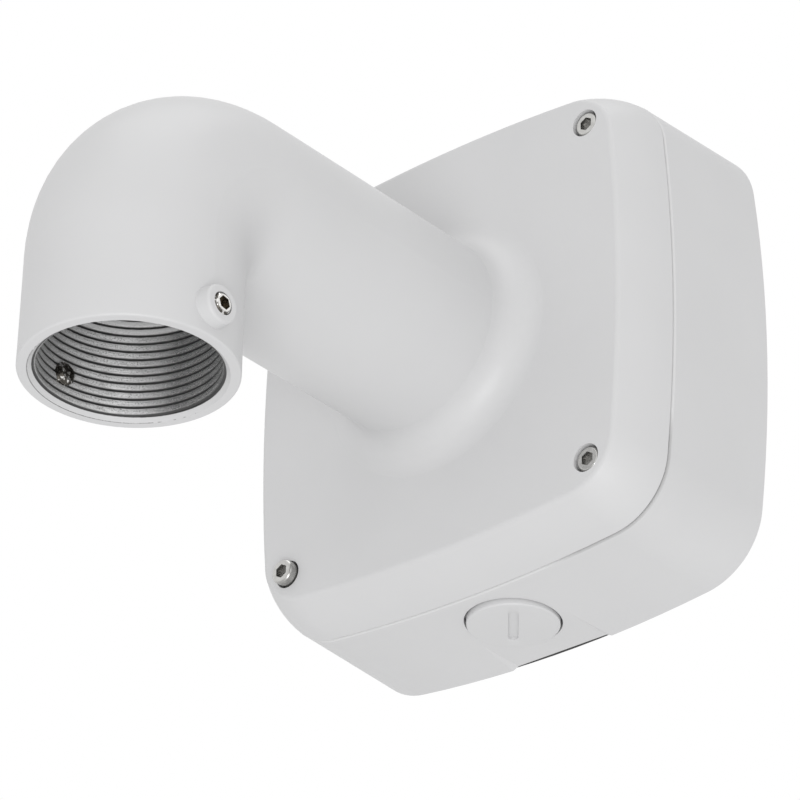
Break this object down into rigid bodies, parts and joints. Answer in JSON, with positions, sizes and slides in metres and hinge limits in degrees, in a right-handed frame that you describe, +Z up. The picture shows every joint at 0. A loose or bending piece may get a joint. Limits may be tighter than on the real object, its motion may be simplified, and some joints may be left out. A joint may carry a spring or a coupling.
{
  "type": "camera wall bracket",
  "caption": "Wall bracket with a cast elbow arm, a threaded pipe socket that opens down, and a rounded square back box with a cable space.",
  "frame": {"origin": "on the wall plane, in the middle of the four fixing holes", "axes": "+Y into the wall, +Z up, -Y outwards along the arm; the pipe socket opens towards -Z"},
  "size_m": [0.141, 0.1984, 0.1407],
  "materials": {
    "white_coat": "fine white powder coat on cast aluminium",
    "screw_steel": "stainless steel",
    "gasket_rubber": "black rubber",
    "plug_coat": "white powder coat"
  },
  "bodies": {
    "root": {"bracket_arm": "white_coat", "back_box": "white_coat", "wall_gasket": "gasket_rubber", "cover_gasket": "gasket_rubber", "conduit_plug": "plug_coat", "conduit_plug_seal": "gasket_rubber", "earth_screw": "screw_steel", "earth_washer": "screw_steel", "cover_screw_top_left": "screw_steel", "cover_screw_top_right": "screw_steel", "cover_screw_bottom_left": "screw_steel", "cover_screw_bottom_right": "screw_steel", "cover_screw_seal_top_left": "gasket_rubber", "cover_screw_seal_top_right": "gasket_rubber", "cover_screw_seal_bottom_left": "gasket_rubber", "cover_screw_seal_bottom_right": "gasket_rubber", "set_screw_right": "screw_steel", "set_screw_left": "screw_steel"}
  },
  "joints": []
}
